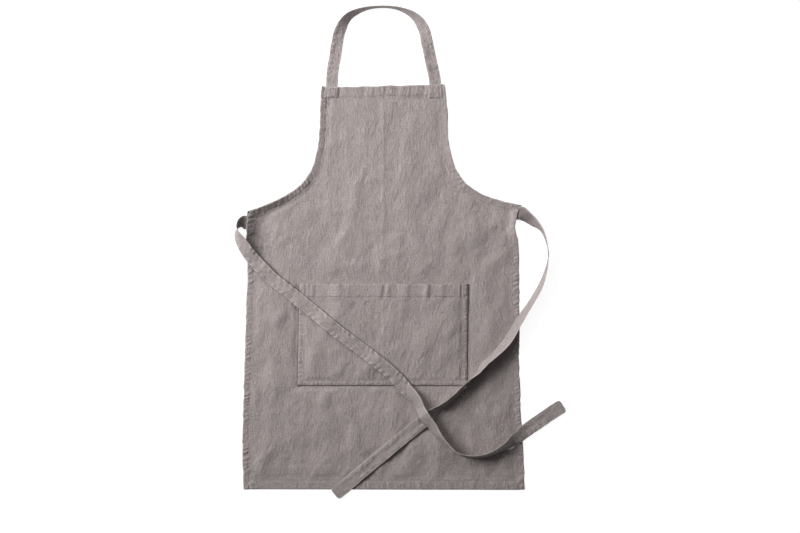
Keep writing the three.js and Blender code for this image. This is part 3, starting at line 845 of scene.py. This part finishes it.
def height_on(trees, x, y):
    """Top of the pieces laid so far, or of the table, at one place."""
    top = 0.0
    for tree in trees:
        hit = tree.ray_cast((x, y, SKY), DOWN)[0]
        if hit is not None:
            top = max(top, hit.z)
    return top


def settle(steps, width, height_under):
    """Middle line of a tape laid on what is under it, with its own stiffness over steps in the cloth."""

    def nearby(values, i):
        return values[max(i - SETTLE_REACH, 0) : i + SETTLE_REACH + 1]

    heading = np.arctan2(np.gradient(steps[:, 1]), np.gradient(steps[:, 0]))
    bare = []
    for (x, y, _, bank, _), turn in zip(steps, heading):
        level = 0.0
        for reach in np.linspace(-width / 2, width / 2, 9):
            flat = reach * math.cos(bank)
            under = height_under(x - flat * math.sin(turn), y + flat * math.cos(turn))
            level = max(level, under - reach * math.sin(bank))
        bare.append(level)
    raised = [max(nearby(bare, i)) for i in range(len(bare))]
    settled = np.array([np.mean(nearby(raised, i)) for i in range(len(bare))])
    held = np.clip(1 - steps[:, 4], 0, 1)
    laid_flat = np.abs(np.cos(steps[:, 3]))
    clearance = (REST + TAPE / 2) * laid_flat - PRESS * (1 - laid_flat)
    return np.column_stack([steps[:, :2], held * settled + steps[:, 2] + clearance])


def across_tape(middles, banks):
    """Unit vectors across a tape, turned about its run by its banks."""
    ahead = unit(np.gradient(middles, axis=0))
    level = unit(np.column_stack([-ahead[:, 1], ahead[:, 0], np.zeros(len(ahead))]))
    up = np.cross(ahead, level)
    return level * np.cos(banks)[:, None] + up * np.sin(banks)[:, None]


# Half section of a tape: share of the half width, share of the half thickness
TAPE_PROFILE = [
    (1.0, 0.0),
    (0.99, 0.55),
    (0.955, 1.0),
    (0.9, 1.1),
    (0.84, 1.0),
    (0.8, 0.5),
    (0.76, 0.9),
    (0.68, 1.0),
    (0.56, 1.0),
    (0.42, 1.0),
    (0.2, 1.0),
]
UPPER = TAPE_PROFILE + [(0.0, 1.0)] + [(-share, level) for share, level in TAPE_PROFILE[::-1]]
LOWER = [(share, -level) for share, level in UPPER[-2:0:-1]]
TAPE_SECTION = np.array(LOWER + UPPER)
STITCH_SHARE = 0.8
END_RADIUS = 7.0


class Tape:
    """A woven tape along a line of middles, with the vector across it at each."""

    def __init__(self, middles, across, width, seed, rim_shade, root_shade):
        stations = stations_of(middles)
        self.run = steps_with_fine_ends(stations[-1], TAPE_FINE_STEP)
        frames = through(stations, np.hstack([middles, across]), self.run)
        self.middles, self.across = frames[:, :3], unit(frames[:, 3:])
        self.face = unit(np.cross(np.gradient(self.middles, axis=0), self.across))
        self.flat = smooth(np.abs(self.face[:, 2:]), 0.8, 0.97)
        self.width = width
        self.seed = seed
        self.rim_shade = rim_shade
        self.root_shade = root_shade
        self.length = stations[-1]

    def points(self, share, level):
        """Section after section, with puckered edges, buckles and rounded ends, none below the table."""
        run = self.run[:, None]
        from_end = np.minimum(run, self.length - run)
        loose = smooth(from_end, 20, 60) * (0.2 + 0.8 * self.flat)
        edge = smooth(np.abs(share), 0.15, 0.6) * fade(np.abs(share), 0.94, 1.0)
        ladder = 1.8 * loose * edge * puckers(run + (40 + 6 * share) * np.sign(share), 15, self.seed)
        long_waves = 2.0 * noise(run / 42, 0.35 * share, self.seed + 2)
        buckle = 0.8 * noise(run / 19, 1.3 * share, self.seed + 3) + long_waves
        buckle = loose * np.maximum(buckle + 1.4, 0) * np.clip(3 * self.face[:, 2:], -1, 1)
        half = level * TAPE / 2 + np.sign(level) * ladder + buckle
        uneven = 0.025 * noise(run / 13, np.sign(share) + 4.5, self.seed + 4)
        reach = share * self.width / 2 * (1 + uneven)
        into_end = np.clip(END_RADIUS - from_end, 0, END_RADIUS)
        drawn_in = END_RADIUS - np.sqrt(END_RADIUS**2 - into_end**2)
        reach = reach * (1 - drawn_in / (self.width / 2))
        points = self.middles[:, None] + self.across[:, None] * reach[..., None]
        points = points + self.face[:, None] * half[..., None]
        points[..., 2] = np.maximum(points[..., 2], 0.0)
        return points

    def wear_and_painted_light(self, share):
        """Painted highlights on the edge beads and raised edges, painted shade on the lower edges and rims,
        and painted shade at the root.
        """
        raised = smooth(self.across[:, 2:] * np.sign(share), -0.3, 0.3)
        rim = smooth(np.abs(share), 0.9, 0.955)
        lit = smooth(np.abs(share), 0.8, 0.84)
        shaded = rim * np.maximum(self.rim_shade * self.flat, (1 - self.flat) * (1 - raised))
        wear_and_painted_light = 1.2 * lit * np.maximum(self.flat, raised) * (1 - rim * self.flat) - 1.1 * shaded
        return wear_and_painted_light - self.root_shade * fade(self.run[:, None], *ROOT_RUN)

    def shape(self):
        share, level = TAPE_SECTION.T
        points = self.points(share, level)
        index = np.arange(points[..., 0].size).reshape(points.shape[:2])
        faces = quads(np.hstack([index, index[:, :1]])).tolist()
        faces += [index[0, ::-1].tolist(), index[-1].tolist()]
        plan = np.stack(np.broadcast_arrays(share * self.width / 2, self.run[:, None]), axis=-1)
        return Shape(points.reshape(-1, 3), faces, plan.reshape(-1, 2), self.wear_and_painted_light(share).reshape(-1))

    def stitch_lines(self):
        """Lines of thread near both edges, on both sides of the tape."""
        lines = []
        for share in (-STITCH_SHARE, STITCH_SHARE):
            for side in (-1, 1):
                line = self.middles + self.across * share * self.width / 2
                lines.append((line + self.face * side * 0.32 * TAPE, self.face * side))
        return lines


# Stitches

def laid_line(tree, x, y):
    """A line of thread dropped on a piece: its points and the way out of the cloth."""
    points, outs = [], []
    for place in zip(x, y):
        hit, out, _, _ = tree.ray_cast((*place, SKY), DOWN)
        if hit is not None:
            points.append(hit[:])
            outs.append(out[:])
    return np.array(points), np.array(outs)


# Rings of one stitch: share of its length, share of its thickness, lift; and the points of a ring
STITCH_RINGS = [(0.0, 0.25, -0.5), (0.2, 1.0, 0.3), (0.8, 1.0, 0.3), (1.0, 0.25, -0.5)]
STITCH_SIDES = 6
STITCH_WIDEN = 1.3
STITCH_PLAN_PITCH = 4.0


def stitches(lines):
    """Short lengths of thread along lines, sunk a little into the cloth."""
    starts, ends, outs = [], [], []
    for points, out in lines:
        stations = stations_of(points)
        at = np.arange(1.0, stations[-1] - STITCH, STITCH_PITCH)
        starts.append(along_line(stations, points, at))
        ends.append(along_line(stations, points, at + STITCH))
        outs.append(along_line(stations, out, at + STITCH / 2))
    start, end, out = np.concatenate(starts), np.concatenate(ends), unit(np.concatenate(outs))
    side = unit(np.cross(end - start, out))
    number = np.arange(len(start))
    points, plan = [], []
    for along, thick, lift in STITCH_RINGS:
        middle = start + (end - start) * along + out * THREAD * lift
        for turn in 2 * math.pi * np.arange(STITCH_SIDES) / STITCH_SIDES:
            ring = side * math.cos(turn) * STITCH_WIDEN + out * math.sin(turn)
            points.append(middle + ring * THREAD * thick)
            across = np.full(len(start), turn * THREAD)
            plan.append(np.column_stack([across, along * STITCH + STITCH_PLAN_PITCH * number]))
    count = len(points)
    points, plan = np.stack(points, axis=1), np.stack(plan, axis=1)
    index = np.arange(count).reshape(len(STITCH_RINGS), STITCH_SIDES)
    one = quads(np.hstack([index, index[:, :1]]))
    offset = count * number[:, None]
    faces = (one[None] + offset[..., None]).reshape(-1, 4).tolist()
    faces += (index[0][None, ::-1] + offset).tolist() + (index[-1][None] + offset).tolist()
    return Shape(points.reshape(-1, 3), faces, plan.reshape(-1, 2), np.zeros(len(start) * count))


# Materials

# Colour sockets of a mix node
MIX_FIRST = 6
MIX_SECOND = 7
MIX_RESULT = 2


def node(tree, kind, **values):
    """A new node, with inputs or settings given by name."""
    made = tree.nodes.new(kind)
    for name, value in values.items():
        if name in made.inputs:
            made.inputs[name].default_value = value
        else:
            setattr(made, name, value)
    return made


def feed(tree, socket, value):
    """Link an output into a socket, or set a constant there."""
    if isinstance(value, bpy.types.NodeSocket):
        tree.links.new(value, socket)
    else:
        socket.default_value = value


def math_node(tree, operation, *values):
    made = node(tree, "ShaderNodeMath", operation=operation)
    for socket, value in zip(made.inputs, values):
        feed(tree, socket, value)
    return made.outputs[0]


def weighted_sum(tree, first, *terms):
    """First value plus each further one times its weight."""
    total = first
    for value, weight in terms:
        total = math_node(tree, "ADD", total, math_node(tree, "MULTIPLY", value, weight))
    return total


def mixed(tree, factor, first, second):
    """Colour between two colours."""
    made = node(tree, "ShaderNodeMix", data_type="RGBA")
    feed(tree, made.inputs["Factor"], factor)
    feed(tree, made.inputs[MIX_FIRST], first)
    feed(tree, made.inputs[MIX_SECOND], second)
    return made.outputs[MIX_RESULT]


def stretched_noise(tree, coordinates, scale, detail, turn=0.0):
    """Noise with its own scale along each axis of the cloth, turned in degrees."""
    mapping = node(tree, "ShaderNodeMapping", Rotation=(0.0, 0.0, math.radians(turn)), Scale=(*scale, 1.0))
    tree.links.new(coordinates, mapping.inputs["Vector"])
    texture = node(tree, "ShaderNodeTexNoise", Scale=1.0, Detail=detail, Roughness=0.55)
    tree.links.new(mapping.outputs["Vector"], texture.inputs["Vector"])
    return texture.outputs["Fac"]


def new_material(name, finish):
    """A material, its nodes and its shader, with the inputs of a finish set."""
    material = bpy.data.materials.new(name)
    material.use_nodes = True
    shader = material.node_tree.nodes["Principled BSDF"]
    for socket, value in finish.items():
        shader.inputs[socket].default_value = value
    return material, material.node_tree, shader


def cloth_place(tree):
    """Place on the cloth in metres, whole and split."""
    cloth = node(tree, "ShaderNodeUVMap", uv_map=CLOTH_MAP).outputs["UV"]
    split = node(tree, "ShaderNodeSeparateXYZ")
    tree.links.new(cloth, split.inputs[0])
    return cloth, split.outputs


# Linen: thread pitch, colours of cloth, tape and sewing thread from dark to light, of worn edges and
# painted highlights, of painted shade
THREAD_PITCH = 0.8
CLOTH_YARN = ((0.270, 0.227, 0.220, 1.0), (0.504, 0.443, 0.433, 1.0))
TAPE_YARN = ((0.268, 0.226, 0.219, 1.0), (0.514, 0.452, 0.442, 1.0))
SEWING_YARN = ((0.25, 0.212, 0.206, 1.0), (0.46, 0.40, 0.39, 1.0))
WORN_AND_LIT = (0.62, 0.56, 0.54, 1.0)
SHADED = (0.12, 0.10, 0.098, 1.0)

# Strength of worn edges and painted highlights and of painted shade, depth of the bump in metres, twist of
# the thread in radians a metre
WORN_AND_LIT_STRENGTH = 0.5
SHADED_STRENGTH = -0.6
WEAVE_DEPTH = 0.0005
TWIST = 9000.0

LINEN_FINISH = {"Roughness": 0.93, "Specular IOR Level": 0.15, "Sheen Weight": 0.12, "Sheen Roughness": 0.6}
THREAD_FINISH = {"Roughness": 0.75, "Specular IOR Level": 0.25}


def linen(name, yarn):
    """Woven linen with slubs, flecks and fine creases, lighter at worn edges and painted highlights, darker
    where shade is painted on.
    """
    material, tree, shader = new_material(name, LINEN_FINISH)
    cloth, place = cloth_place(tree)
    warp_slub = stretched_noise(tree, cloth, (420.0, 70.0), 3.0)
    weft_slub = stretched_noise(tree, cloth, (60.0, 380.0), 3.0)
    mottle = stretched_noise(tree, cloth, (60.0, 45.0), 4.0)
    fleck = stretched_noise(tree, cloth, (560.0, 430.0), 2.0)
    crease = stretched_noise(tree, cloth, (210.0, 90.0), 2.0, 14.0)
    turns = 2 * math.pi / (THREAD_PITCH * MM)
    warp = math_node(tree, "SINE", math_node(tree, "MULTIPLY", place["X"], turns))
    weft = math_node(tree, "SINE", math_node(tree, "MULTIPLY", place["Y"], turns))
    weave = math_node(tree, "MULTIPLY", warp, weft)
    slub = weighted_sum(tree, warp_slub, (weft_slub, 0.6))
    tone = math_node(tree, "MULTIPLY_ADD", slub, 1.1, -1.405)
    tone = weighted_sum(tree, tone, (mottle, 0.3), (fleck, 2.0), (weave, 0.06))
    wear_and_painted_light = node(tree, "ShaderNodeAttribute", attribute_name=WEAR_AND_PAINTED_LIGHT).outputs["Fac"]
    colour = mixed(tree, tone, *yarn)
    # Towards the worn-and-lit colour at worn edges and painted highlights, towards the shade colour where
    # shade is painted
    colour = mixed(tree, math_node(tree, "MULTIPLY", wear_and_painted_light, WORN_AND_LIT_STRENGTH), colour, WORN_AND_LIT)
    colour = mixed(tree, math_node(tree, "MULTIPLY", wear_and_painted_light, SHADED_STRENGTH), colour, SHADED)
    tree.links.new(colour, shader.inputs["Base Color"])
    height = weighted_sum(tree, slub, (weave, 0.35), (fleck, 4.0), (crease, 5.0))
    bump = node(tree, "ShaderNodeBump", Strength=1.0, Distance=WEAVE_DEPTH)
    tree.links.new(height, bump.inputs["Height"])
    tree.links.new(bump.outputs["Normal"], shader.inputs["Normal"])
    return material


def thread(name, yarn):
    """Plied sewing thread."""
    material, tree, shader = new_material(name, THREAD_FINISH)
    cloth, place = cloth_place(tree)
    run = math_node(tree, "ADD", place["X"], place["Y"])
    ply = math_node(tree, "SINE", math_node(tree, "MULTIPLY", run, TWIST))
    tone = math_node(tree, "MULTIPLY_ADD", ply, 0.3, 0.25)
    tone = weighted_sum(tree, tone, (stretched_noise(tree, cloth, (500.0, 150.0), 2.0), 0.5))
    tree.links.new(mixed(tree, tone, *yarn), shader.inputs["Base Color"])
    return material


# Pieces

LINEN = linen("linen", CLOTH_YARN)
LINEN_TAPE = linen("linen_tape", TAPE_YARN)
SEWING_THREAD = thread("sewing_thread", SEWING_YARN)


def new_object(name, data):
    made = bpy.data.objects.new(name, data)
    bpy.context.scene.collection.objects.link(made)
    return made


def make_piece(name, shape, material, node_name=None):
    """An object in the frame, standing in for a node of the part where one is named."""
    mesh = bpy.data.meshes.new(name)
    mesh.from_pydata(to_frame(shape.points).tolist(), [], shape.faces)
    corners = np.empty(len(mesh.loops), np.int32)
    mesh.loops.foreach_get("vertex_index", corners)
    cloth = mesh.uv_layers.new(name=CLOTH_MAP)
    cloth.data.foreach_set("uv", (shape.plan[corners] * MM).astype(np.float32).ravel())
    wear_and_painted_light = mesh.attributes.new(WEAR_AND_PAINTED_LIGHT, "FLOAT", "POINT")
    wear_and_painted_light.data.foreach_set("value", shape.wear_and_painted_light.astype(np.float32))
    mesh.materials.append(material)
    mesh.shade_smooth()
    mesh.validate()
    piece = new_object(name, mesh)
    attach(piece, "root")
    if node_name:
        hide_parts(node_name)
    return piece


def lift_of_edges(x, y):
    """How far the turned-up waist edges carry the sewn ends of the ties."""
    waist_left, _, waist_right = SKIRT[-2][:3]
    inside = np.minimum(x - waist_left, waist_right - x)
    lift = bumps(EDGE_LIFTS, x, y) * towards_edge(np.maximum(inside, 0), EDGE_REACH)
    return lift * smooth(inside, *CARRY_OUTSIDE) * smooth(y, *CARRY_Y)


def laid_tape(route, width, seed, height_under, rim_shade, root_shade, free=()):
    """A tape laid along its route, and lifted where a waist edge carries it."""
    steps = route_steps(route, free)
    middles = settle(steps, width, height_under)
    middles[:, 2] += lift_of_edges(middles[:, 0], middles[:, 1])
    return Tape(middles, across_tape(middles, steps[:, 3]), width, seed, rim_shade, root_shade)


# Height that each tape lies on: the hem under a sewn end, else the table or the pieces laid before

def under_strap(x, y):
    return RIM - REST if y < STRAP_SEWN_Y else 0.0


def under_right_tie(x, y):
    if x < TIE_SEWN_X and y > TIE_SEWN_Y:
        return RIM - REST
    return height_on([panel_tree, pocket_tree], x, y)


def under_left_tie(x, y):
    return height_on([panel_tree, pocket_tree, right_tree], x, y)


def panel_stitch_lines():
    """Seams of the side hems, the bottom hem and the bib hem."""
    plan = panel_plan()
    inside = len(HEM_SHARES)
    lines = []
    for edge, inner in ((plan[:, 0], plan[:, inside]), (plan[:, -1], plan[:, -1 - inside])):
        line = edge + (inner - edge) * (1 - HEM_SEAM / SIDE_HEM)
        line = line[4 : BIB_HEM_ROW + 5]
        lines.append(laid_line(panel_tree, line[:, 0], line[:, 1]))
    x = np.linspace(-290, 292, 300)
    lines.append(laid_line(panel_tree, x, np.full_like(x, BOTTOM_HEM - HEM_SEAM)))
    x = np.linspace(-122, 121, 140)
    bib_edge = np.interp(x, *zip(*BIB_CORNERS))
    lines.append(laid_line(panel_tree, x, bib_edge - BIB_HEM + HEM_SEAM))
    return lines


def pocket_stitch_lines():
    """Two seams down each side of the pocket, two along its foot and one under its mouth."""
    lines = []
    y = np.linspace(POCKET_BOTTOM + POCKET_SEAM, POCKET_TOP - 2, 110)
    drawn = (POCKET_TOP - y) / (POCKET_TOP - POCKET_BOTTOM)
    for inset in (POCKET_SEAM, POCKET_SIDE_BAND):
        lines.append(laid_line(pocket_tree, POCKET_LEFT + POCKET_FLARE * drawn + inset, y))
        lines.append(laid_line(pocket_tree, POCKET_RIGHT + 0.5 * POCKET_FLARE * drawn - inset, y))
    x = np.linspace(POCKET_LEFT + POCKET_FLARE + 4, POCKET_RIGHT - 6, 180)
    mouth_seam = POCKET_TOP - POCKET_HEM + MOUTH_SEAM
    for height in (POCKET_BOTTOM + POCKET_SEAM, POCKET_BOTTOM + POCKET_FOOT_BAND, mouth_seam):
        lines.append(laid_line(pocket_tree, x, np.full_like(x, height)))
    return lines


panel_shapes = panel_pieces()
pocket_shapes = pocket_pieces()
panel_tree = panel_shapes["apron_panel"].tree()
pocket_tree = pocket_shapes["pocket"].tree()
neck_strap = laid_tape(NECK_ROUTE, NECK_WIDTH, 81, under_strap, NECK_RIM, 0.0)
right_tie = laid_tape(RIGHT_ROUTE, TIE_WIDTH, 82, under_right_tie, RIGHT_RIM, ROOT_SHADE)
right_shape = right_tie.shape()
right_tree = right_shape.tree()
left_tie = laid_tape(LEFT_ROUTE, TIE_WIDTH, 83, under_left_tie, LEFT_RIM, ROOT_SHADE, LEFT_FREE)

for name, shape in {**panel_shapes, **pocket_shapes}.items():
    make_piece(name + "_cloth", shape, LINEN, name)
for name, tape, shape in (
    ("neck_strap", neck_strap, neck_strap.shape()),
    ("waist_tie_left", left_tie, left_tie.shape()),
    ("waist_tie_right", right_tie, right_shape),
):
    make_piece(name + "_tape", shape, LINEN_TAPE, name)
    sewn = stitches(tape.stitch_lines())
    make_piece(name + "_stitches", sewn, SEWING_THREAD)
for name, lines in (
    ("panel_stitches", panel_stitch_lines()),
    ("pocket_stitches", pocket_stitch_lines()),
):
    make_piece(name, stitches(lines), SEWING_THREAD)

# Table, light and camera: the beam in degrees, the fill from all round

TABLE_HALF = 20.0
TABLE_DROP = 0.0003
TABLE_FINISH = {
    "Base Color": (0.25, 0.25, 0.25, 1.0),
    "Roughness": 1.0,
    "Specular IOR Level": 0.0,
    "Emission Color": (0.9, 0.9, 0.9, 1.0),
    "Emission Strength": 1.02,
}
LIGHT_AIM = (0, 600, 0)
BEAM = 84
FILL = 0.09

# Lamps: place, size in metres, power in watts
LAMPS = {
    "key": ((-1805, 1320, 1400), 1.4, 17.9),
    "top": ((0, 1500, 900), 1.2, 1.95),
}

table_mesh = bpy.data.meshes.new("table")
around = ((-1, -1), (1, -1), (1, 1), (-1, 1))
table_corners = [(x * TABLE_HALF, y * TABLE_HALF, -TABLE_DROP) for x, y in around]
table_mesh.from_pydata(table_corners, [], [(0, 1, 2, 3)])
table_mesh.materials.append(new_material("table_white", TABLE_FINISH)[0])
new_object("table", table_mesh)

world = bpy.data.worlds.new("studio")
bpy.context.scene.world = world
world.use_nodes = True
background = world.node_tree.nodes["Background"]
background.inputs["Color"].default_value = (1.0, 1.0, 1.0, 1.0)
background.inputs["Strength"].default_value = FILL

for name, (place, size, power) in LAMPS.items():
    lamp = new_object(name, bpy.data.lights.new(name, "AREA"))
    lamp.data.shape = "DISK"
    lamp.data.size = size
    lamp.data.energy = power
    lamp.data.spread = math.radians(BEAM)
    lamp.location = Vector(to_frame(place))
    aim = Vector(to_frame(LIGHT_AIM)) - lamp.location
    lamp.rotation_euler = aim.to_track_quat("-Z", "Y").to_euler()

camera = new_object("camera", bpy.data.cameras.new("camera"))
camera.data.sensor_width = SENSOR
camera.data.lens = SENSOR * CAMERA_HEIGHT / PICTURE_WIDTH
camera.location = Vector(to_frame((*PICTURE_MIDDLE, CAMERA_HEIGHT)))
bpy.context.scene.camera = camera
bpy.context.scene.view_settings.view_transform = "Standard"
